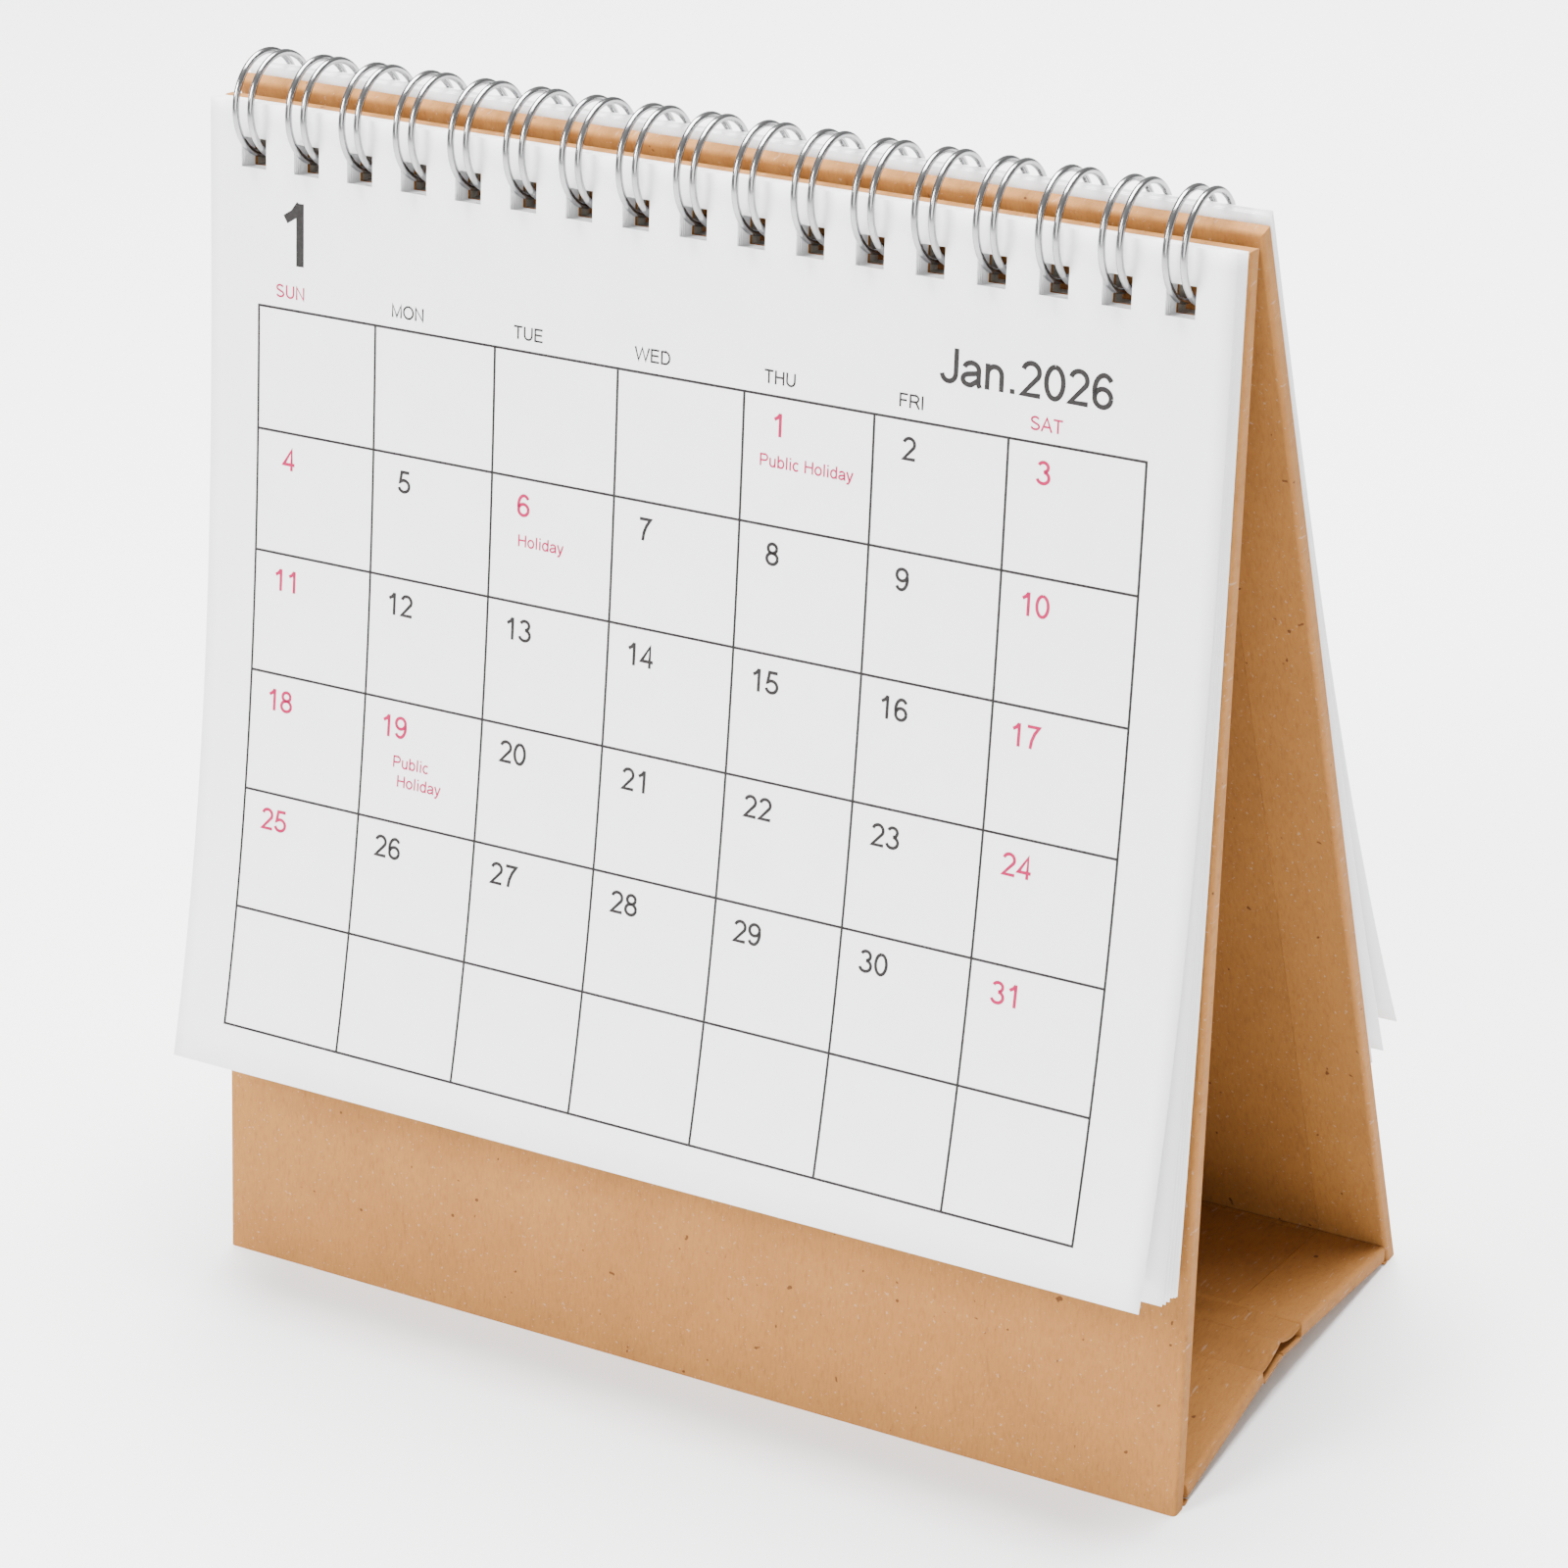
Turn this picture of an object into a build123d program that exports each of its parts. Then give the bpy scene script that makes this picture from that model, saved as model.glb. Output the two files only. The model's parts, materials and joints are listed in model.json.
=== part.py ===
"""Flip desk calendar: a folding card stand, a twin-loop wire binding and punched month sheets.

Millimetres and degrees. +X is the reader's right, -Y is the front, +Z is up.
The origin is on the table, in the middle of the footprint.
"""
import os
from math import cos, degrees, radians, sin, sqrt, tan

from build123d import *

os.makedirs("parts", exist_ok=True)

# Stand: two leaning panels joined by a base that folds up between them
stand_width = 150.0
front_length = 165.0  # along the outer face of the front panel
front_lean = 11.0  # each panel, from upright
back_lean = 10.4
front_base_rise = 9.0  # each base half, from level, up towards the ridge
rear_base_rise = 8.0
back_top_above_front = 0.8  # the back panel reaches a little higher

# Wrapped board: a greyboard core in a kraft cover with a kraft lining inside
core_thickness = 2.0
cover_thickness = 0.25
lining_thickness = 0.25
turn_in = 10.0  # how far the cover wraps round on to the inner face
board_edge_round = 0.6

# Punching and twin-loop wire, three loops to the inch
loop_count = 17
loop_pitch = 25.4 / 3
hole_size = 4.0
hole_centre_inside_loop = 0.15  # nearer the edge than the wire's own radius
wire_diameter = 0.9
loop_to_bound = 12.7 / 10.32  # a half-inch loop on this thickness of boards and sheets
wire_play = 0.35  # between a loop's two wires and the sides of their hole
base_bend_angle = 4.5  # where the back of the wire lies, behind straight down
tip_gap = 0.3  # between the loop tips and the back of the wire

# Where the loop centre, which everything hinges on, lies on the front panel
pivot_below_top = 0.5
pivot_before_inner = 1.2  # from the loop centre back to the front panel's inner face

# Month sheets
sheet_width = 149.5
sheet_height = 133.0
sheet_thickness = 0.15
sheet_gap = 0.09
front_sheet_count = 13
back_sheet_count = 3
front_fan = 3.2  # how far the front sheet stands off the panel at the bottom
back_fan = 2.6
fan_power = 1.6  # above 1, the sheets nearest the panel lie closest together

# Clearances
panel_gap = 0.9  # between the two panels at the loop centre
front_sheet_clearance = 0.15  # between the front panel and its innermost sheet
back_sheet_clearance = 0.25
hanging_clearance = 0.105  # between the wire and the top of a hole in the outermost back sheet
turned_sheet_gap = 0.45  # inside the outermost back sheet, so that its top edge swings clear
crease_clearance = 0.25  # between a panel and the end of its base half
base_lift = 0.45  # between the table and the base half's end
ridge_clearance = 6.0  # from the end of each base board to the ridge
strip_clearance = 0.1
lining_clearance = 0.05
crease_margin = 1.0  # of cover round the lining at the ends that fold

wire_radius = wire_diameter / 2
twin_spacing = hole_size - wire_diameter - 2 * wire_play  # between the two wires of a loop
board_thickness = core_thickness + cover_thickness + lining_thickness
front_inner = -pivot_before_inner  # faces, measured outwards from the loop centre
front_outer = front_inner + board_thickness
back_inner = panel_gap - front_inner
back_outer = back_inner + board_thickness
back_top_above_pivot = pivot_below_top + back_top_above_front


def along(angle, length):
    """Y and Z of a step of a length at an angle above the horizontal, towards the back."""
    return Vector(0, length * cos(radians(angle)), length * sin(radians(angle)))


# The loop centre, from the bottom of the front panel's outer face
pivot_local = along(90 - front_lean, front_length - pivot_below_top)
pivot_local += along(-front_lean, front_outer)


def sheet_end(lean, face_offset, reach, side):
    """Bottom outer corner of a hanging sheet; side is -1 at the front and 1 at the back."""
    outwards = side * face_offset * cos(radians(lean)) + side * reach * sin(radians(lean))
    upwards = face_offset * sin(radians(lean)) - reach * cos(radians(lean))
    return pivot_local + Vector(0, outwards, upwards)


def front_sheet_offset(number):
    """Inner face of a front sheet, from the loop centre; number 0 is next to the panel."""
    return front_outer + front_sheet_clearance + number * (sheet_thickness + sheet_gap)


def back_sheet_offset(number):
    """Inner face of a back sheet, from the loop centre; number 0 is next to the panel."""
    offset = back_outer + back_sheet_clearance + number * (sheet_thickness + sheet_gap)
    if number == back_sheet_count - 1:
        offset += turned_sheet_gap - sheet_gap
    return offset


front_most_offset = front_sheet_offset(front_sheet_count - 1) + sheet_thickness
back_most_offset = back_sheet_offset(back_sheet_count - 1) + sheet_thickness
loop_inner_diameter = loop_to_bound * (front_most_offset + back_most_offset)
loop_radius = (loop_inner_diameter + wire_diameter) / 2
hole_centre_below_edge = loop_radius - hole_centre_inside_loop

# The back sheets hang with the tops of their holes just over the wire
wire_depth = sqrt(loop_radius**2 - back_most_offset**2)
wire_top = wire_depth - wire_radius * loop_radius / wire_depth
back_sheet_top_above_pivot = (
    hole_centre_below_edge - hole_size / 2 - wire_top + hanging_clearance
)

front_reach = sheet_height - pivot_below_top
back_reach = sheet_height - back_sheet_top_above_pivot
front_most = sheet_end(front_lean + front_fan, front_most_offset, front_reach, -1).Y
back_most = sheet_end(back_lean + back_fan, back_most_offset, back_reach, 1).Y
back_foot = sheet_end(back_lean, back_outer, 0, 1)
back_foot_y = back_foot.Y + back_foot.Z * tan(radians(back_lean))
front_edge_y = min(front_most, 0.0)
rear_edge_y = max(back_most, back_foot_y)
shift = Vector(0, -(front_edge_y + rear_edge_y) / 2, 0)
pivot = pivot_local + shift
front_foot_y = shift.Y
back_foot_y += shift.Y


def front_plane(fan=0.0):
    """Plane through the loop centre, along the front panel and facing the reader."""
    lean = radians(front_lean + fan)
    return Plane(origin=pivot, x_dir=(1, 0, 0), z_dir=(0, -cos(lean), sin(lean)))


def back_plane(fan=0.0):
    """Plane through the loop centre, along the back panel and facing backwards."""
    lean = radians(back_lean + fan)
    return Plane(origin=pivot, x_dir=(-1, 0, 0), z_dir=(0, cos(lean), sin(lean)))


def base_hinge(lean, rise, foot_y, side):
    """The crease that a base half folds on, just off the panel's inner face."""
    height = base_lift + board_thickness * cos(radians(rise))
    inwards = (board_thickness + crease_clearance) / cos(radians(lean))
    return Vector(0, foot_y + side * (inwards + height * tan(radians(lean))), height)


front_crease = base_hinge(front_lean, front_base_rise, front_foot_y, 1)
back_crease = base_hinge(back_lean, rear_base_rise, back_foot_y, -1)

# The ridge is where the upper faces of the two base halves would meet
crease_span = back_crease - front_crease
front_slope = tan(radians(front_base_rise))
rear_slope = tan(radians(rear_base_rise))
ridge_step = (crease_span.Z + crease_span.Y * rear_slope) / (front_slope + rear_slope)
front_base_length = ridge_step / cos(radians(front_base_rise))
rear_base_length = (crease_span.Y - ridge_step) / cos(radians(rear_base_rise))

front_base_down = along(front_base_rise - 90, board_thickness)
rear_base_down = along(-90 - rear_base_rise, board_thickness)
front_base_face = Plane(
    origin=front_crease + front_base_down, x_dir=(-1, 0, 0), z_dir=front_base_down
)
rear_base_face = Plane(
    origin=back_crease + rear_base_down, x_dir=(1, 0, 0), z_dir=rear_base_down
)


def save(piece, name):
    """Label a finished piece and write it as its own STEP file."""
    piece.part.label = name
    export_step(piece.part, f"parts/{name}.step")


def outline(face, width, low, high):
    """A rectangle across a plane, from low to high along it."""
    with BuildSketch(face) as shape:
        with Locations((0, (low + high) / 2)):
            Rectangle(width, high - low)
    return shape.sketch


def hole_row(face, top):
    """The row of square holes below a top edge."""
    with BuildSketch(face) as row:
        with Locations((0, top - hole_centre_below_edge)):
            with GridLocations(loop_pitch, 0, loop_count, 1):
                Rectangle(hole_size, hole_size)
    return row.sketch


def wrapped_board(name, face, low, high, lean=None):
    """Write the greyboard core, the kraft cover round it and the lining inside it.

    A board with a lean is a panel, punched below its top edge and standing on a level foot.
    """
    panel = lean is not None
    skin = cover_thickness
    core_outline = outline(face.offset(-skin), stand_width - 2 * skin, low + skin, high - skin)
    with BuildPart() as core:
        extrude(core_outline, amount=-core_thickness)
        if panel:
            split(bisect_by=Plane.XY.offset(skin), keep=Keep.TOP)
            extrude(hole_row(face, high), amount=-board_thickness, mode=Mode.SUBTRACT)
    save(core, f"{name}_core")

    window_width = stand_width - 2 * turn_in
    window_low = low + crease_margin
    window_high = high - crease_margin
    if panel:
        window_low += board_thickness * tan(radians(lean))
        window_high = high - turn_in
    window_face = face.offset(-skin - core_thickness)
    window = outline(window_face, window_width, window_low, window_high)
    with BuildPart() as cover:
        extrude(outline(face, stand_width, low, high), amount=-board_thickness)
        side_edges = cover.edges().filter_by(Axis(face.origin, face.y_dir))
        end_edges = cover.edges().filter_by(Axis.X).sort_by(Axis(face.origin, face.y_dir))
        fillet(side_edges + end_edges[-2:], board_edge_round)
        if panel:
            split(bisect_by=Plane.XY, keep=Keep.TOP)
        add(core.part, mode=Mode.SUBTRACT)
        extrude(window, amount=-lining_thickness, mode=Mode.SUBTRACT)
        if panel:
            extrude(hole_row(face, high), amount=-board_thickness, mode=Mode.SUBTRACT)
    save(cover, f"{name}_cover")

    gap = lining_clearance
    patch = outline(window_face, window_width - 2 * gap, window_low + gap, window_high - gap)
    with BuildPart() as lining:
        extrude(patch, amount=-lining_thickness)
    save(lining, f"{name}_lining")


def month_sheet(name, plane, offset, top):
    """Write one punched sheet, hanging from the wire with its top edge above the loop centre."""
    face = plane.offset(offset + sheet_thickness)
    with BuildPart() as sheet:
        extrude(outline(face, sheet_width, top - sheet_height, top), amount=-sheet_thickness)
        extrude(hole_row(face, top), amount=-sheet_thickness, mode=Mode.SUBTRACT)
    save(sheet, name)


def ridge_strip(name, face, board_end, length, rise):
    """Write the bare paper hinge from the end of a base board to the ridge."""
    paper = cover_thickness + lining_thickness
    low = board_end + strip_clearance
    high = length - board_thickness * tan(radians(rise)) - strip_clearance
    with BuildPart() as strip:
        extrude(outline(face, stand_width, low, high), amount=-paper)
    save(strip, name)


def foot_strip(name, foot_y, lean, base_face, side):
    """Write the paper hinge between a panel's foot and the end of its base half."""
    panel_y = foot_y + side * board_thickness / cos(radians(lean))
    near = panel_y + side * strip_clearance
    far = base_face.origin.Y - side * strip_clearance
    far_z = base_face.origin.Z - cover_thickness
    with BuildPart() as strip:
        with BuildSketch(Plane.YZ):
            with BuildLine():
                Polyline(
                    (near, 0),
                    (far, far_z),
                    (far, far_z + cover_thickness),
                    (near, cover_thickness),
                    close=True,
                )
            make_face()
        extrude(amount=stand_width / 2, both=True)
    save(strip, name)


# Stand
front_face = front_plane().offset(front_outer)
back_face = back_plane().offset(back_outer)
front_low = -front_face.origin.Z / cos(radians(front_lean))
back_low = -back_face.origin.Z / cos(radians(back_lean))
front_base_high = front_base_length - ridge_clearance
rear_base_high = rear_base_length - ridge_clearance
wrapped_board("front_panel", front_face, front_low, pivot_below_top, front_lean)
wrapped_board("back_panel", back_face, back_low, back_top_above_pivot, back_lean)
wrapped_board("front_base", front_base_face, 0, front_base_high)
wrapped_board("rear_base", rear_base_face, 0, rear_base_high)
ridge_strip("front_ridge_crease", front_base_face, front_base_high, front_base_length, front_base_rise)
ridge_strip("rear_ridge_crease", rear_base_face, rear_base_high, rear_base_length, rear_base_rise)
foot_strip("front_foot_crease", front_foot_y, front_lean, front_base_face, 1)
foot_strip("back_foot_crease", back_foot_y, back_lean, rear_base_face, -1)

# Month sheets, number 1 being the one that is read
for number in range(front_sheet_count):
    depth = front_sheet_count - 1 - number
    fan = front_fan * (depth / (front_sheet_count - 1)) ** fan_power
    month_sheet(
        f"front_sheet_{number + 1:02d}",
        front_plane(fan),
        front_sheet_offset(depth),
        pivot_below_top,
    )
for number in range(back_sheet_count):
    fan = back_fan * (number / (back_sheet_count - 1)) ** fan_power
    month_sheet(
        f"back_sheet_{number + 1:02d}",
        back_plane(fan),
        back_sheet_offset(number),
        back_sheet_top_above_pivot,
    )


# Twin-loop wire: one length of wire, each loop a finger of two arcs joined at the tip
bend_radius = twin_spacing / 2
bend_angle = degrees(bend_radius / loop_radius)
back_start = base_bend_angle - bend_angle
tip_start = base_bend_angle + degrees((wire_diameter + tip_gap) / loop_radius) + bend_angle


def on_loop(x, angle):
    """A point of the wire; the angle is from straight down, towards the back."""
    return pivot + Vector(x, 0, 0) + along(angle - 90, loop_radius)


def heading(angle):
    """The direction round the loop at an angle, towards growing angles."""
    return along(angle, 1)


first_x = -loop_pitch * (loop_count - 1) / 2
lead = Vector(bend_radius, 0, 0)
start = on_loop(first_x, back_start) - lead
with BuildPart() as binding_wire:
    with BuildLine() as route:
        for loop in range(loop_count):
            x = first_x + loop * loop_pitch
            left = x - bend_radius
            right = x + bend_radius
            if loop > 0:
                previous = x - loop_pitch + bend_radius
                side_step = on_loop(previous, back_start) + heading(back_start) * bend_radius
                far_side = on_loop(left, back_start) + heading(back_start) * bend_radius
                TangentArc(
                    on_loop(previous, back_start), side_step + lead, tangent=heading(back_start)
                )
                Line(side_step + lead, far_side - lead)
                TangentArc(far_side - lead, on_loop(left, back_start), tangent=(1, 0, 0))
            top = (back_start + tip_start - 360) / 2
            ThreePointArc(
                on_loop(left, back_start), on_loop(left, top), on_loop(left, tip_start - 360)
            )
            TangentArc(
                on_loop(left, tip_start), on_loop(right, tip_start), tangent=-heading(tip_start)
            )
            ThreePointArc(
                on_loop(right, tip_start - 360), on_loop(right, top), on_loop(right, back_start)
            )
    with BuildSketch(Plane(route.line @ 0, z_dir=route.line % 0)):
        Circle(wire_radius)
    sweep()
save(binding_wire, "binding_wire")
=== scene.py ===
"""Looks of the flip desk calendar: curled sheets, their print, the wire, kraft board and light.

Metres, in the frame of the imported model: the sheets' places come from their CAD nodes.
"""
import json
import math
import random

import bpy
from mathutils import Matrix, Vector


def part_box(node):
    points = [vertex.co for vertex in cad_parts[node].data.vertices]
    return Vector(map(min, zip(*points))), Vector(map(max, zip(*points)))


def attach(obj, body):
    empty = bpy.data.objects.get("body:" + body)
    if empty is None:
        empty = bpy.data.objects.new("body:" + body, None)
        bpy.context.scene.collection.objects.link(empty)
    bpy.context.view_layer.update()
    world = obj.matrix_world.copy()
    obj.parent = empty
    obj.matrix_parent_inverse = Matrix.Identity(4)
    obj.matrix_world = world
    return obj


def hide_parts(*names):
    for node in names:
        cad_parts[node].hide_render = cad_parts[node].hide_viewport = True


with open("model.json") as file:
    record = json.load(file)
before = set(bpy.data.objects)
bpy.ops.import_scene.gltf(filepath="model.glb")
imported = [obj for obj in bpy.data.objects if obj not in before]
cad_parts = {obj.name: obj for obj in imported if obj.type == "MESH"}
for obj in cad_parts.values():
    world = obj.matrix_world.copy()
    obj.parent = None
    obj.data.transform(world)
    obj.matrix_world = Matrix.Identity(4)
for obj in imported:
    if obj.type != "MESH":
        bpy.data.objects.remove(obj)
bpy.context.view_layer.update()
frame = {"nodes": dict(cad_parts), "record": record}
MM = 0.001

# The camera, in degrees and in millimetres of focal length
CAMERA_PLACE = Vector((0.3225, -0.4924, 0.3883))
CAMERA_YAW = 32.91
CAMERA_PITCH = 28.07
CAMERA_ROLL = 4.50
CAMERA_LENS = 115.44

# Print on the sheet that is read, from the sheet's middle and from its top edge
GRID_LEFT = -66.9 * MM
GRID_TOP = 26.8 * MM
CELL_WIDTH = 18.77 * MM
CELL_HEIGHT = 16.65 * MM
GRID_COLUMNS = 7
GRID_ROWS = 6
LINE_WIDTH = 0.34 * MM
LINE_STEPS = 36  # so that a line follows the curl
PRINT_LIFT = 0.035 * MM
MONTH_DAYS = 31
FIRST_WEEKDAY = 4  # the column of the 1st
HOLIDAYS = {1: ("Public Holiday",), 6: ("Holiday",), 19: ("Public", "Holiday")}
WEEKDAYS = ("SUN", "MON", "TUE", "WED", "THU", "FRI", "SAT")

# Sizes and places of the words, each as its capitals' height and its middle's place:
# right of a cell's left line, and below its top line
DATE_SIZE, DATE_RIGHT, DATE_BELOW = 3.0 * MM, 5.0 * MM, 3.6 * MM
WEEKDAY_SIZE, WEEKDAY_RIGHT, WEEKDAY_BELOW = 1.75 * MM, 5.1 * MM, -2.4 * MM
NUMBER_SIZE, NUMBER_RIGHT, NUMBER_BELOW = 8.4 * MM, 5.6 * MM, -10.2 * MM
TITLE_SIZE, TITLE_RIGHT, TITLE_BELOW = 4.45 * MM, 114.6 * MM, -7.7 * MM
HOLIDAY_SIZE, HOLIDAY_BELOW, HOLIDAY_SPACING = 1.6 * MM, 8.3 * MM, 2.6 * MM
WIDE_WORDS = 8  # signs, from which a holiday's name is centred in its cell
SHORT_WORDS_PLACE = 0.42  # of the cell's width

# Punching, as in the CAD sheets
LOOP_COUNT = 17
LOOP_PITCH = 25.4 / 3 * MM
HOLE_SIZE = 4.0 * MM
HOLE_TOP = 4.65 * MM

# How the paper hangs
SHEET_THICKNESS = 0.13 * MM
SHEET_ROWS = 32  # of faces below the holes
SIDE_MARGIN = 2.4 * MM  # a column of faces along each side
CURL_POWER = 2.9  # how late down the sheet the curl begins
READ_CURL = 1.34  # the bottom's stand-off on the sheet that is read, against the flat sheet's
STACK_CURL = 0.42  # and on the sheets under it, which also hang a little off the panel
BACK_CURL = 1.2
STACK_STAND = 2.4 * MM
BACK_STAND = 0.6 * MM
TWIST = 0.06  # how far a sheet's two bottom corners may differ, against its stand-off
SWAY = 0.45 * MM  # how far a sheet may hang to one side at the bottom

# The paper over the base's ridge
RIDGE_COLUMNS = 160
RIDGE_ROWS = 12
RIDGE_THICKNESS = 0.3 * MM
RIDGE_SIDE_GAP = 0.2 * MM
RIDGE_SLACK = 0.4  # millimetres that it sags
RIDGE_SIDE_SAG = 0.5  # and more at its two ends
RIDGE_SIDE_POWER = 24
RIDGE_CREASE = 1.6  # how strong the wrinkles are
RIDGE_WAVES = 7


# ---------------------------------------------------------------- materials


def new_material(name):
    """A node material, with its tree and its principled shader."""
    material = bpy.data.materials.new(name)
    material.use_nodes = True
    tree = material.node_tree
    return material, tree, tree.nodes["Principled BSDF"]


def add_node(tree, kind, **inputs):
    """A node with some of its sockets set by name."""
    node = tree.nodes.new(kind)
    for name, value in inputs.items():
        node.inputs[name.replace("_", " ")].default_value = value
    return node


def noise(tree, scale, detail, roughness=0.5, stretch=(1, 1, 1), turn=(0, 0, 0)):
    """Noise in the object's own space, stretched and turned; returns its factor socket."""
    place = tree.nodes.new("ShaderNodeTexCoord")
    mapping = tree.nodes.new("ShaderNodeMapping")
    mapping.inputs["Scale"].default_value = stretch
    mapping.inputs["Rotation"].default_value = turn
    tree.links.new(place.outputs["Object"], mapping.inputs["Vector"])
    texture = add_node(tree, "ShaderNodeTexNoise", Scale=scale, Detail=detail, Roughness=roughness)
    tree.links.new(mapping.outputs["Vector"], texture.inputs["Vector"])
    return texture.outputs["Fac"]


def ramp(tree, factor, *stops):
    """A colour ramp over a factor, from (place, colour) stops."""
    node = tree.nodes.new("ShaderNodeValToRGB")
    while len(node.color_ramp.elements) < len(stops):
        node.color_ramp.elements.new(0.5)
    for element, (place, colour) in zip(node.color_ramp.elements, stops):
        element.position = place
        element.color = (*colour, 1)
    tree.links.new(factor, node.inputs["Fac"])
    return node.outputs["Color"]


def mix(tree, blend_type, amount, low, high):
    """Mixes two colour sockets by a fixed amount."""
    node = tree.nodes.new("ShaderNodeMixRGB")
    node.blend_type = blend_type
    node.inputs["Fac"].default_value = amount
    tree.links.new(low, node.inputs["Color1"])
    tree.links.new(high, node.inputs["Color2"])
    return node.outputs["Color"]


def finish(shader, roughness, specular=None):
    """Sets a shader's roughness, and its specular level where that isn't the usual one."""
    shader.inputs["Roughness"].default_value = roughness
    if specular is not None:
        shader.inputs["Specular IOR Level"].default_value = specular


def bump(tree, shader, height, strength, distance):
    """Gives a shader a bump from a height socket."""
    node = add_node(tree, "ShaderNodeBump", Strength=strength, Distance=distance)
    tree.links.new(height, node.inputs["Height"])
    tree.links.new(node.outputs["Normal"], shader.inputs["Normal"])


def kraft(name, light, dark):
    """Kraft paper: a warm ground, a felt of short crossed fibres, dark specks and a little tooth."""
    material, tree, shader = new_material(name)
    white, black = (1, 1, 1), (0, 0, 0)
    ground = ramp(tree, noise(tree, 70, 6, 0.65), (0.32, dark), (0.68, light))
    for turn in (0.3, 1.2, 2.2):
        strands = noise(tree, 2400, 3, 0.6, (1, 0.3, 0.3), (turn, turn * 1.7, turn))
        shade = ramp(tree, strands, (0.3, (0.86, 0.84, 0.80)), (0.5, white), (0.72, (1.0, 0.99, 0.96)))
        ground = mix(tree, "MULTIPLY", 0.75, ground, shade)
    hairs = noise(tree, 1900, 2, 0.5, (1, 0.2, 1), (0.4, 0.2, 0.9))
    pale = ramp(tree, hairs, (0.66, black), (0.72, white))
    ground = mix(tree, "SCREEN", 0.07, ground, pale)
    specks = ramp(tree, noise(tree, 800, 1, 0.4), (0.205, (0.2, 0.12, 0.07)), (0.235, white))
    ground = mix(tree, "MULTIPLY", 0.8, ground, specks)
    tree.links.new(ground, shader.inputs["Base Color"])
    finish(shader, 0.8, 0.3)
    bump(tree, shader, noise(tree, 2600, 4, 0.6), 0.25, 0.00012)
    return material


def page_paper():
    """Uncoated white paper with a faint tooth and cloud."""
    material, tree, shader = new_material("page_paper")
    cloud = ramp(tree, noise(tree, 160, 4), (0.3, (0.83, 0.83, 0.84)), (0.7, (0.86, 0.86, 0.87)))
    tree.links.new(cloud, shader.inputs["Base Color"])
    finish(shader, 0.7, 0.25)
    bump(tree, shader, noise(tree, 3200, 3), 0.12, 0.00006)
    return material


def ink(name, colour):
    """Offset print: slightly uneven and soaked into the paper."""
    material, tree, shader = new_material(name)
    faded = [channel * 1.25 + 0.004 for channel in colour]
    tone = ramp(tree, noise(tree, 2200, 3), (0.35, colour), (0.75, faded))
    tree.links.new(tone, shader.inputs["Base Color"])
    finish(shader, 0.8, 0.08)
    return material


def wire_metal():
    """Steel wire, darker than chrome, with fine drawing marks."""
    material, tree, shader = new_material("wire")
    tone = ramp(tree, noise(tree, 300, 4), (0.3, (0.27, 0.27, 0.275)), (0.7, (0.36, 0.36, 0.365)))
    tree.links.new(tone, shader.inputs["Base Color"])
    shader.inputs["Metallic"].default_value = 1.0
    finish(shader, 0.18)
    bump(tree, shader, noise(tree, 2500, 3), 0.08, 0.00003)
    return material


def floor_paper():
    """A matt pale floor."""
    material, tree, shader = new_material("floor")
    tone = ramp(tree, noise(tree, 3, 2), (0.3, (0.90, 0.90, 0.90)), (0.7, (0.92, 0.92, 0.92)))
    tree.links.new(tone, shader.inputs["Base Color"])
    finish(shader, 0.9)
    return material


def greyboard():
    """Compressed recycled paper."""
    material, tree, shader = new_material("greyboard")
    tone = ramp(tree, noise(tree, 900, 5, 0.7), (0.3, (0.22, 0.20, 0.17)), (0.7, (0.34, 0.31, 0.27)))
    tree.links.new(tone, shader.inputs["Base Color"])
    finish(shader, 0.9)
    bump(tree, shader, noise(tree, 1800, 4), 0.3, 0.0002)
    return material


# ---------------------------------------------------------------- pieces


def new_piece(name, vertices, faces, material, smooth=False):
    """A mesh object in the scene."""
    mesh = bpy.data.meshes.new(name)
    mesh.from_pydata(vertices, [], faces)
    mesh.materials.append(material)
    for face in mesh.polygons:
        face.use_smooth = smooth
    piece = bpy.data.objects.new(name, mesh)
    bpy.context.scene.collection.objects.link(piece)
    return piece


def thicken(piece, thickness):
    """Gives a surface its thickness, behind it."""
    solid = piece.modifiers.new("thickness", "SOLIDIFY")
    solid.thickness = thickness
    solid.offset = -1


# ---------------------------------------------------------------- sheets


class Sheet:
    """One punched sheet's place, taken from its CAD node, and its curl."""

    def __init__(self, name, side, share=0.0, rest_angle=None, stand=0.0):
        self.name = name
        self.side = side
        vertices = frame["nodes"][name].data.vertices
        points = sorted((vertex.co for vertex in vertices), key=lambda point: point.z)
        bottom = sum(points[:4], Vector()) / 4
        top = sum(points[-4:], Vector()) / 4
        self.top = Vector((0, top.y, top.z))
        drop = Vector((0, bottom.y - top.y, bottom.z - top.z))
        self.height = drop.length
        self.down = drop.normalized()
        self.normal = Vector((0, side * -self.down.z, side * self.down.y))
        self.width = max(point.x for point in points) * 2
        self.angle = math.atan2(side * drop.y, -drop.z)
        self.fan = 0.0 if rest_angle is None else self.angle - rest_angle
        self.stand_off = stand + share * self.fan * self.height
        chance = random.Random(name)
        self.twist = chance.uniform(-TWIST, TWIST) * abs(self.fan) * self.height
        self.sway = chance.uniform(-SWAY, SWAY)

    def at(self, x, s, lift=0.0):
        """A point of the sheet's outer surface, s down the paper from its top edge."""
        part = s / self.height
        stand_off = self.stand_off + self.twist * x / self.width
        curl = stand_off * part**CURL_POWER - self.fan * s
        rise = (stand_off * CURL_POWER / self.height) ** 2 / 2
        short = rise * self.height / (2 * CURL_POWER - 1) * part ** (2 * CURL_POWER - 1)
        face = SHEET_THICKNESS / 2 + lift
        place = self.top + Vector((x + self.sway * part, 0, 0))
        return place + self.down * (s - short) + self.normal * (curl + face)


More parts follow.
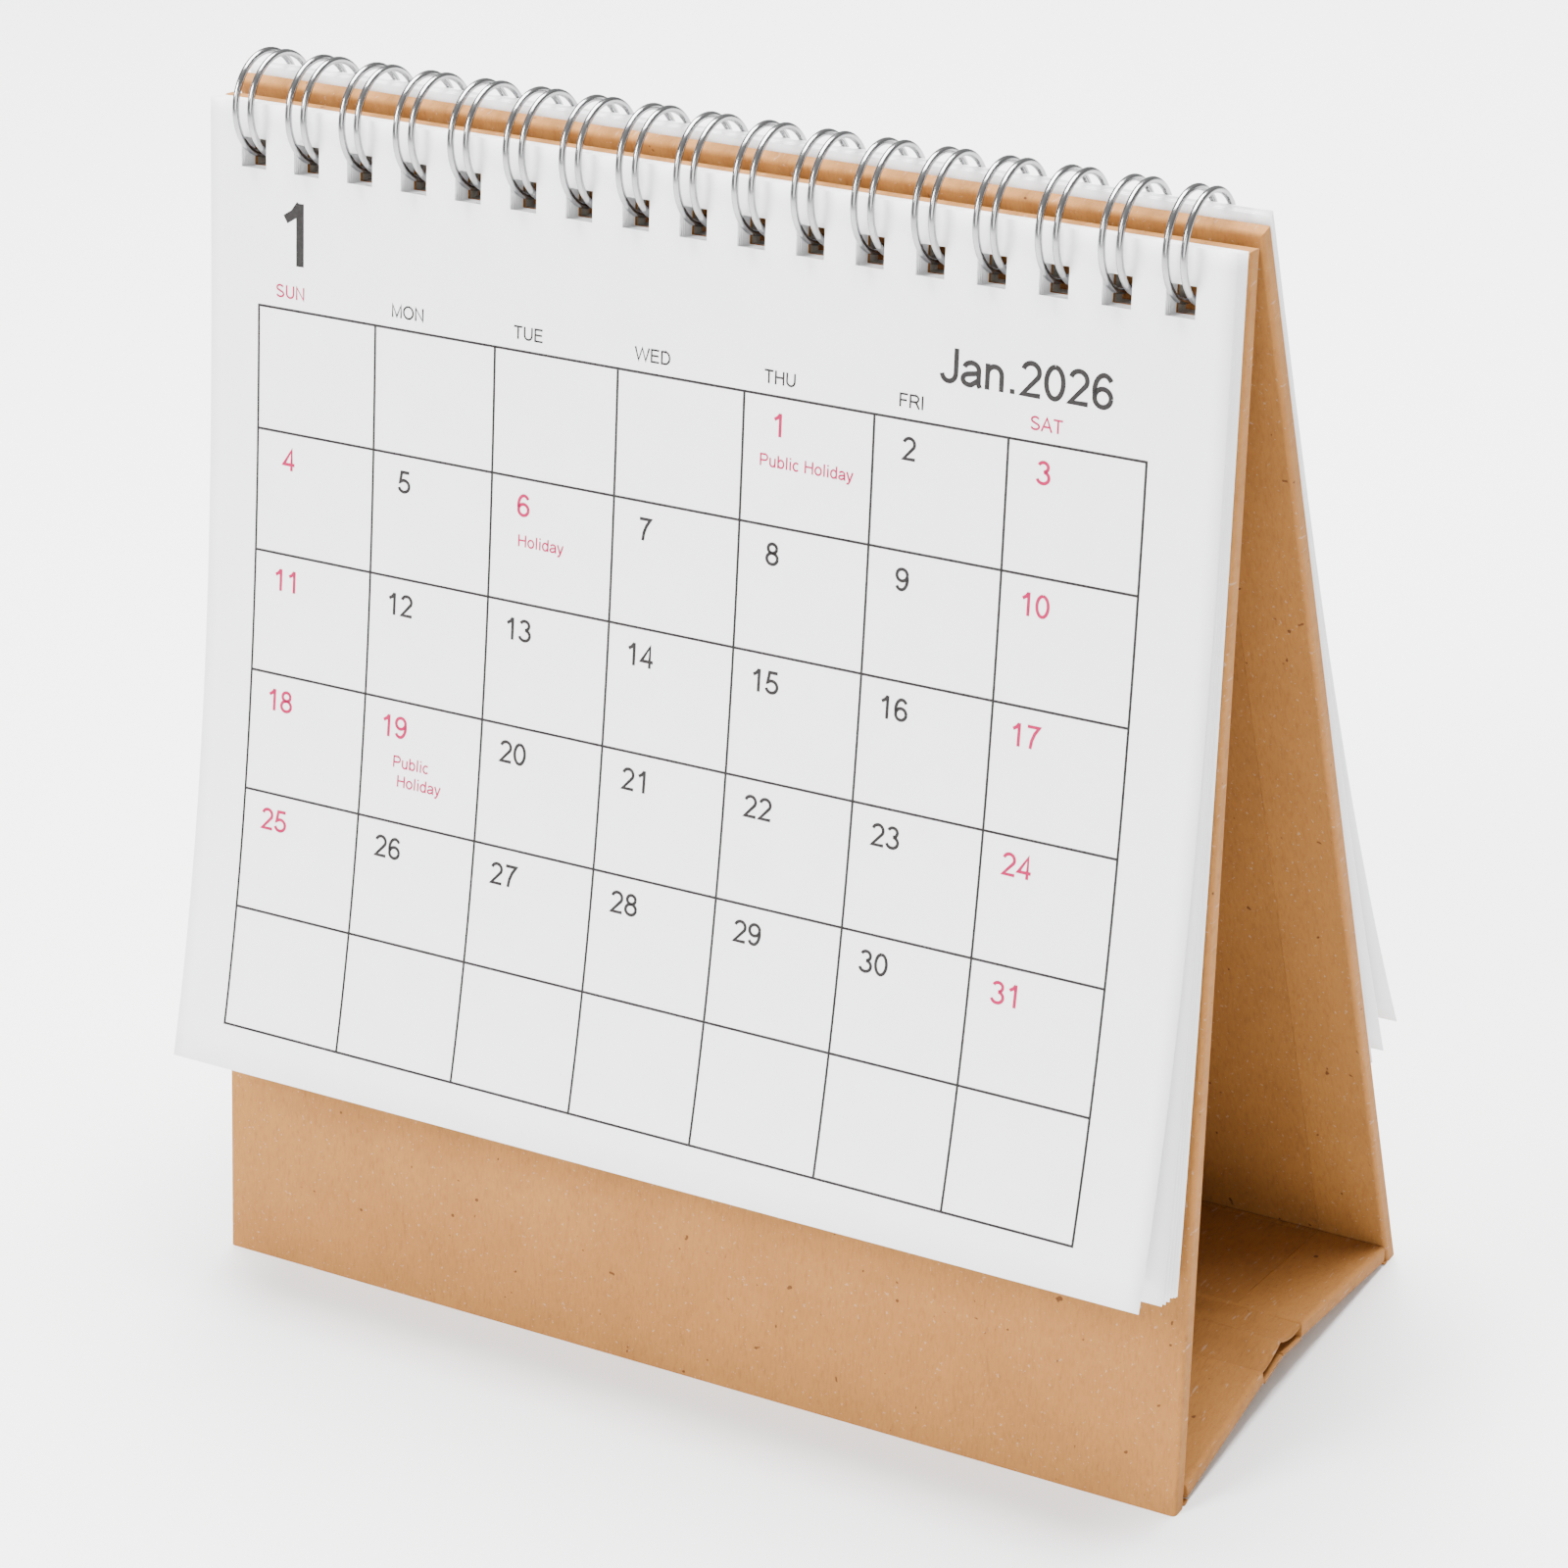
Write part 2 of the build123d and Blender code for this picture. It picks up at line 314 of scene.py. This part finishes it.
def hole_edges():
    """The left edge of each punched hole."""
    first = -LOOP_PITCH * (LOOP_COUNT - 1) / 2 - HOLE_SIZE / 2
    return [first + number * LOOP_PITCH for number in range(LOOP_COUNT)]


def sheet_grid(sheet):
    """A fine grid over the sheet, with the square holes left out."""
    edge = sheet.width / 2
    columns = [-edge, -edge + SIDE_MARGIN]
    for left in hole_edges():
        columns += [left, left + HOLE_SIZE / 2, left + HOLE_SIZE]
    columns += [edge - SIDE_MARGIN, edge]
    below = HOLE_TOP + HOLE_SIZE
    rows = [0, HOLE_TOP / 2, HOLE_TOP, below]
    rows += [below + (sheet.height - below) * step / SHEET_ROWS for step in range(1, SHEET_ROWS + 1)]
    hole_row = rows.index(HOLE_TOP)
    holes = {columns.index(left) for left in hole_edges()}
    width = len(columns)
    faces = []
    for row in range(len(rows) - 1):
        for column in range(width - 1):
            punched = row == hole_row and (column in holes or column - 1 in holes)
            if not punched:
                corner = row * width + column
                face = [corner, corner + width, corner + width + 1, corner + 1]
                faces.append(face if sheet.side < 0 else face[::-1])
    return [sheet.at(x, s) for s in rows for x in columns], faces


def build_sheet(sheet, body, material):
    """The visible sheet, which stands for its CAD node."""
    piece = new_piece(f"paper_{sheet.name}", *sheet_grid(sheet), material, smooth=True)
    thicken(piece, SHEET_THICKNESS)
    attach(piece, body)
    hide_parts(sheet.name)


# ---------------------------------------------------------------- ridge


def upper_line(name):
    """Where a base half's upper face ends towards the ridge, and its slope there."""
    low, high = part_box(name)
    points = [vertex.co for vertex in frame["nodes"][name].data.vertices]
    peak = max(points, key=lambda point: point.z)
    towards = 1 if abs(peak.y - high[1]) < abs(peak.y - low[1]) else -1
    return Vector((0, peak.y, peak.z)), towards * (high[2] - low[2]) / (high[1] - low[1])


def ridge_skin(name, body, start, end, material):
    """Creased paper from a base board's upper face to the ridge, a little slack and wrinkled."""
    chance = random.Random(name)
    waves = []
    for _ in range(RIDGE_WAVES):
        waves.append((chance.uniform(90, 700), chance.uniform(0, 6.3), chance.uniform(0.02, 0.07)))
    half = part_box("front_ridge_crease")[1][0] - RIDGE_SIDE_GAP
    run = end - start
    normal = Vector((0, -run.z, run.y)).normalized()
    if normal.z < 0:
        normal = -normal
    vertices = []
    for row in range(RIDGE_ROWS + 1):
        part = row / RIDGE_ROWS
        slack = math.sin(math.pi * part)
        for column in range(RIDGE_COLUMNS + 1):
            x = -half + 2 * half * column / RIDGE_COLUMNS
            crease = sum(size * math.sin(x * pitch + phase + 2.5 * part) for pitch, phase, size in waves)
            side_sag = RIDGE_SIDE_SAG * (abs(x) / half) ** RIDGE_SIDE_POWER
            height = min(0.0, slack * (crease * RIDGE_CREASE - RIDGE_SLACK - side_sag)) * MM
            vertices.append(start + run * part + Vector((x, 0, 0)) + normal * height)
    width = RIDGE_COLUMNS + 1
    faces = []
    for row in range(RIDGE_ROWS):
        for column in range(RIDGE_COLUMNS):
            corner = row * width + column
            face = [corner, corner + 1, corner + 1 + width, corner + width]
            faces.append(face if run.y > 0 else face[::-1])
    piece = new_piece(name, vertices, faces, material, smooth=True)
    thicken(piece, RIDGE_THICKNESS)
    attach(piece, body)


def build_ridge(material):
    """The two skins that close the fold between the base halves."""
    front, front_slope = upper_line("front_base_lining")
    rear, rear_slope = upper_line("rear_base_lining")
    step = (rear.z - front.z + (front.y - rear.y) * rear_slope) / (front_slope - rear_slope)
    ridge = front + Vector((0, step, step * front_slope))
    ridge_skin("front_ridge_skin", "front_base", front, ridge, material)
    ridge_skin("rear_ridge_skin", "rear_base", rear, ridge, material)


# ---------------------------------------------------------------- print


class Print:
    """Flat marks gathered in one mesh and laid on a sheet's surface."""

    def __init__(self, sheet):
        self.sheet = sheet
        self.vertices = []
        self.faces = []

    def line(self, x0, s0, x1, s1):
        """A ruled line between two places, along x or along s, in short steps."""
        half = LINE_WIDTH / 2
        across = (0, half) if s0 == s1 else (half, 0)
        start = len(self.vertices)
        for step in range(LINE_STEPS + 1):
            x = x0 + (x1 - x0) * step / LINE_STEPS
            s = s0 + (s1 - s0) * step / LINE_STEPS
            self.vertices.append(self.sheet.at(x - across[0], s - across[1], PRINT_LIFT))
            self.vertices.append(self.sheet.at(x + across[0], s + across[1], PRINT_LIFT))
        for step in range(LINE_STEPS):
            corner = start + 2 * step
            face = [corner, corner + 1, corner + 3, corner + 2]
            self.faces.append(face if s0 == s1 else face[::-1])

    def text(self, words, x, s, height):
        """Words centred on a place, with capitals of a height."""
        points, faces = letters(words)
        middle = (min(point[0] for point in points) + max(point[0] for point in points)) / 2
        start = len(self.vertices)
        for across, up in points:
            place_x = x + (across - middle) * height
            place_s = s + height / 2 - up * height
            self.vertices.append(self.sheet.at(place_x, place_s, PRINT_LIFT))
        self.faces += [[start + index for index in face] for face in faces]

    def build(self, name, body, material):
        """Makes the marks one piece."""
        piece = new_piece(name, self.vertices, self.faces, material)
        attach(piece, body)


def bow(x, y, across, up, start, end):
    """Points round part of an ellipse, between two angles in degrees."""
    steps = max(4, int(abs(end - start) / 12))
    angles = [math.radians(start + (end - start) * step / steps) for step in range(steps + 1)]
    return [(x + across * math.cos(angle), y + up * math.sin(angle)) for angle in angles]


# Each sign as its width and its strokes, drawn down the middle, with capitals 1 high
SIGNS = {
    "0": (0.68, [bow(0.34, 0.5, 0.26, 0.44, 90, 450)]),
    "1": (0.68, [[(0.14, 0.72), (0.30, 0.82), (0.42, 0.98)], [(0.42, 1), (0.42, 0)]]),
    "2": (0.68, [bow(0.34, 0.69, 0.25, 0.25, 165, -30) + [(0.10, 0.06), (0.64, 0.06)]]),
    "3": (0.68, [bow(0.32, 0.74, 0.22, 0.20, 160, -85), bow(0.32, 0.30, 0.27, 0.24, 85, -165)]),
    "4": (0.68, [[(0.66, 0.28), (0.07, 0.28), (0.49, 0.94), (0.49, 0)]]),
    "5": (0.68, [[(0.60, 0.94), (0.20, 0.94), (0.13, 0.50)] + bow(0.33, 0.32, 0.27, 0.26, 135, -165)]),
    "6": (0.68, [bow(0.35, 0.31, 0.25, 0.25, 0, 360), bow(0.37, 0.50, 0.28, 0.44, 195, 40)]),
    "7": (0.68, [[(0.07, 0.94), (0.61, 0.94), (0.42, 0.66), (0.30, 0.35), (0.25, 0)]]),
    "8": (0.68, [bow(0.34, 0.74, 0.21, 0.20, 0, 360), bow(0.34, 0.30, 0.26, 0.24, 0, 360)]),
    "9": (0.68, [bow(0.33, 0.69, 0.25, 0.25, 0, 360), bow(0.31, 0.50, 0.28, 0.44, 15, -140)]),
    "A": (0.86, [[(0.03, 0), (0.43, 0.97), (0.83, 0)], [(0.17, 0.34), (0.69, 0.34)]]),
    "D": (0.88, [[(0.12, 0.94), (0.42, 0.94)] + bow(0.42, 0.5, 0.36, 0.44, 90, -90)
                 + [(0.12, 0.06), (0.12, 1)]]),
    "E": (0.82, [[(0.76, 0.94), (0.12, 0.94), (0.12, 0.06), (0.78, 0.06)], [(0.12, 0.52), (0.72, 0.52)]]),
    "F": (0.76, [[(0.72, 0.94), (0.12, 0.94), (0.12, 0)], [(0.12, 0.50), (0.64, 0.50)]]),
    "H": (0.88, [[(0.12, 0), (0.12, 1)], [(0.12, 0.53), (0.76, 0.53)], [(0.76, 0), (0.76, 1)]]),
    "I": (0.28, [[(0.14, 0), (0.14, 1)]]),
    "J": (0.62, [[(0.52, 1)] + bow(0.30, 0.30, 0.22, 0.24, 0, -170)]),
    "M": (1.00, [[(0.12, 0), (0.12, 0.97), (0.50, 0.08), (0.88, 0.97), (0.88, 0)]]),
    "N": (0.88, [[(0.12, 0), (0.12, 0.95), (0.76, 0.05), (0.76, 1)]]),
    "O": (0.98, [bow(0.49, 0.5, 0.42, 0.45, 90, 450)]),
    "P": (0.82, [[(0.12, 0), (0.12, 0.94), (0.50, 0.94)] + bow(0.50, 0.70, 0.24, 0.24, 90, -90)
                 + [(0.12, 0.46)]]),
    "R": (0.90, [[(0.12, 0), (0.12, 0.94), (0.52, 0.94)] + bow(0.52, 0.71, 0.24, 0.23, 90, -90)
                 + [(0.12, 0.48)], [(0.46, 0.48), (0.62, 0.38), (0.85, 0)]]),
    "S": (0.84, [bow(0.41, 0.74, 0.28, 0.20, 20, 260) + bow(0.42, 0.27, 0.31, 0.21, 80, -165)]),
    "T": (0.80, [[(0.03, 0.94), (0.77, 0.94)], [(0.40, 0.94), (0.40, 0)]]),
    "U": (0.88, [[(0.12, 1)] + bow(0.44, 0.38, 0.32, 0.32, 180, 360) + [(0.76, 1)]]),
    "W": (1.26, [[(0.04, 1), (0.33, 0.04), (0.63, 0.95), (0.93, 0.04), (1.22, 1)]]),
    "a": (0.66, [bow(0.33, 0.48, 0.23, 0.19, 165, 0) + [(0.56, 0.10), (0.61, 0)],
                 [(0.55, 0.40), (0.30, 0.36)] + bow(0.27, 0.20, 0.20, 0.15, 100, 290) + [(0.55, 0.20)]]),
    "b": (0.70, [bow(0.37, 0.36, 0.25, 0.31, 0, 360), [(0.12, 0), (0.12, 1)]]),
    "c": (0.62, [bow(0.34, 0.36, 0.26, 0.31, 45, 315)]),
    "d": (0.70, [bow(0.33, 0.36, 0.25, 0.31, 0, 360), [(0.58, 0), (0.58, 1)]]),
    "i": (0.28, [[(0.14, 0), (0.14, 0.72)], [(0.14, 0.87), (0.14, 1)]]),
    "l": (0.28, [[(0.14, 0), (0.14, 1)]]),
    "n": (0.68, [[(0.12, 0), (0.12, 0.73)], bow(0.34, 0.44, 0.22, 0.23, 180, 0) + [(0.56, 0)]]),
    "o": (0.70, [bow(0.35, 0.36, 0.27, 0.31, 0, 360)]),
    "u": (0.68, [[(0.12, 0.73)] + bow(0.34, 0.28, 0.22, 0.23, 180, 360), [(0.56, 0), (0.56, 0.73)]]),
    "y": (0.62, [[(0.05, 0.73), (0.32, 0.02)], [(0.58, 0.73), (0.30, -0.06), (0.20, -0.20), (0.05, -0.21)]]),
    " ": (0.34, []),
    ".": (0.34, [[(0.17, 0), (0.17, 0.14)]]),
}
STROKE = 0.145  # of a capital's height
SIGN_GAP = 0.05


def stroke_band(stroke, half):
    """The two sides of a stroke, mitred at its corners."""
    band = []
    for index, point in enumerate(stroke):
        before = Vector(stroke[max(index - 1, 0)])
        after = Vector(stroke[min(index + 1, len(stroke) - 1)])
        place = Vector(point)
        first = (place - before).normalized() if index else (after - place).normalized()
        second = (after - place).normalized() if index < len(stroke) - 1 else first
        along_both = (first + second).normalized()
        across = Vector((-along_both.y, along_both.x))
        reach = half / max(0.5, along_both.dot(first))
        band += [place + across * reach, place - across * reach]
    return band


def letters(words):
    """Words as flat points and faces, with capitals 1 high."""
    points, faces = [], []
    pen = 0.0
    for sign in words:
        width, strokes = SIGNS[sign]
        for stroke in strokes:
            start = len(points)
            band = stroke_band(stroke, STROKE / 2)
            points += [(pen + point.x, point.y) for point in band]
            steps = len(band) // 2 - 1
            faces += [[start + 2 * step + corner for corner in (0, 1, 3, 2)] for step in range(steps)]
        pen += width + SIGN_GAP
    return points, faces


def print_grid(layer):
    """The ruled grid."""
    right = GRID_LEFT + GRID_COLUMNS * CELL_WIDTH
    bottom = GRID_TOP + GRID_ROWS * CELL_HEIGHT
    half = LINE_WIDTH / 2
    for row in range(GRID_ROWS + 1):
        s = GRID_TOP + row * CELL_HEIGHT
        layer.line(GRID_LEFT - half, s, right + half, s)
    for column in range(GRID_COLUMNS + 1):
        x = GRID_LEFT + column * CELL_WIDTH
        layer.line(x, GRID_TOP, x, bottom)


def print_month(sheet, dark, pink):
    """The month's name and number, the weekdays, the grid and its dates."""
    black = Print(sheet)
    red = Print(sheet)
    weekend = (0, GRID_COLUMNS - 1)
    print_grid(black)
    for column, name in enumerate(WEEKDAYS):
        layer = red if column in weekend else black
        x = GRID_LEFT + column * CELL_WIDTH
        layer.text(name, x + WEEKDAY_RIGHT, GRID_TOP + WEEKDAY_BELOW, WEEKDAY_SIZE)
    for day in range(1, MONTH_DAYS + 1):
        row, column = divmod(day - 1 + FIRST_WEEKDAY, GRID_COLUMNS)
        layer = red if column in weekend or day in HOLIDAYS else black
        x = GRID_LEFT + column * CELL_WIDTH
        s = GRID_TOP + row * CELL_HEIGHT
        layer.text(str(day), x + DATE_RIGHT, s + DATE_BELOW, DATE_SIZE)
        for line, words in enumerate(HOLIDAYS.get(day, ())):
            share = 0.5 if line or len(words) > WIDE_WORDS else SHORT_WORDS_PLACE
            below = HOLIDAY_BELOW + HOLIDAY_SPACING * line
            red.text(words, x + CELL_WIDTH * share, s + below, HOLIDAY_SIZE)
    black.text("1", GRID_LEFT + NUMBER_RIGHT, GRID_TOP + NUMBER_BELOW, NUMBER_SIZE)
    black.text("Jan.2026", GRID_LEFT + TITLE_RIGHT, GRID_TOP + TITLE_BELOW, TITLE_SIZE)
    black.build("print_black", "front_sheet", dark)
    red.build("print_pink", "front_sheet", pink)


# ---------------------------------------------------------------- stage


def build_camera():
    """A camera turned by its heading, its dip and its roll."""
    data = bpy.data.cameras.new("camera")
    data.lens = CAMERA_LENS
    camera = bpy.data.objects.new("camera", data)
    bpy.context.scene.collection.objects.link(camera)
    heading = Matrix.Rotation(math.radians(CAMERA_YAW), 4, "Z")
    dip = Matrix.Rotation(math.radians(90 - CAMERA_PITCH), 4, "X")
    roll = Matrix.Rotation(math.radians(-CAMERA_ROLL), 4, "Z")
    camera.matrix_world = Matrix.Translation(CAMERA_PLACE) @ heading @ dip @ roll
    bpy.context.scene.camera = camera


def add_light(name, place, size, power):
    """A square soft light aimed at the middle of the object."""
    data = bpy.data.lights.new(name, "AREA")
    data.shape = "SQUARE"
    data.size = size
    data.energy = power
    light = bpy.data.objects.new(name, data)
    bpy.context.scene.collection.objects.link(light)
    light.location = place
    aim = Vector((0, 0, 0.08)) - Vector(place)
    light.rotation_euler = aim.to_track_quat("-Z", "Y").to_euler()


def build_stage():
    """A pale floor, a soft white surround and three soft lights."""
    world = bpy.data.worlds.new("surround")
    world.use_nodes = True
    background = world.node_tree.nodes["Background"]
    background.inputs["Color"].default_value = (1, 1, 1, 1)
    background.inputs["Strength"].default_value = 0.5
    bpy.context.scene.world = world
    add_light("key", (-0.45, -0.85, 0.85), 0.45, 27.0)
    add_light("fill", (0.45, -1.0, 0.45), 0.7, 9.0)
    add_light("top", (-0.05, 0.35, 1.2), 0.9, 85.0)
    reach = 4.0
    corners = [(-reach, -reach, 0), (reach, -reach, 0), (reach, reach, 0), (-reach, reach, 0)]
    floor = new_piece("floor", corners, [(0, 1, 2, 3)], floor_paper())


# ---------------------------------------------------------------- build


def dress(name, material):
    """Gives a CAD node a material in place of its own."""
    data = frame["nodes"][name].data
    data.materials.clear()
    data.materials.append(material)


def dress_stand(names):
    """The stand and the wire keep their CAD shapes."""
    covers = kraft("kraft_cover", (0.315, 0.136, 0.030), (0.270, 0.114, 0.024))
    # The lining kraft is the cover kraft made a little darker: painted shade for the shaded inside of the
    # stand. The ridge skins and ridge nodes use it too.
    shade_darkened_linings = kraft("kraft_lining", (0.290, 0.123, 0.026), (0.248, 0.103, 0.021))
    boards = greyboard()
    metal = wire_metal()
    for name in names:
        if name == "binding_wire":
            dress(name, metal)
        elif name.endswith("_core"):
            dress(name, boards)
        elif name.endswith("_lining") or "ridge" in name:
            dress(name, shade_darkened_linings)
        else:
            dress(name, covers)
    build_ridge(shade_darkened_linings)


def build_sheets(bodies, owner):
    """The sheets at the front, of which one is printed, and those turned to the back."""
    paper = page_paper()
    front_names = bodies["front_sheet"] + sorted(bodies["front_sheets"])
    back_names = sorted(bodies["back_sheets"]) + bodies["turned_sheet"]
    front_rest = Sheet(front_names[-1], -1).angle
    back_rest = Sheet(back_names[0], 1).angle
    read = Sheet(front_names[0], -1, READ_CURL, front_rest)
    build_sheet(read, owner[read.name], paper)
    print_month(read, ink("ink_dark", (0.022, 0.020, 0.020)), ink("ink_pink", (0.30, 0.006, 0.055)))
    for name in front_names[1:]:
        build_sheet(Sheet(name, -1, STACK_CURL, front_rest, STACK_STAND), owner[name], paper)
    for name in back_names:
        build_sheet(Sheet(name, 1, BACK_CURL, back_rest, BACK_STAND), owner[name], paper)


bodies = frame["record"]["behaviour"]["bodies"]
owner = {name: body for body, names in bodies.items() for name in names}
build_camera()
build_stage()
dress_stand([name for name in owner if not name.startswith(("front_sheet", "back_sheet"))])
build_sheets(bodies, owner)
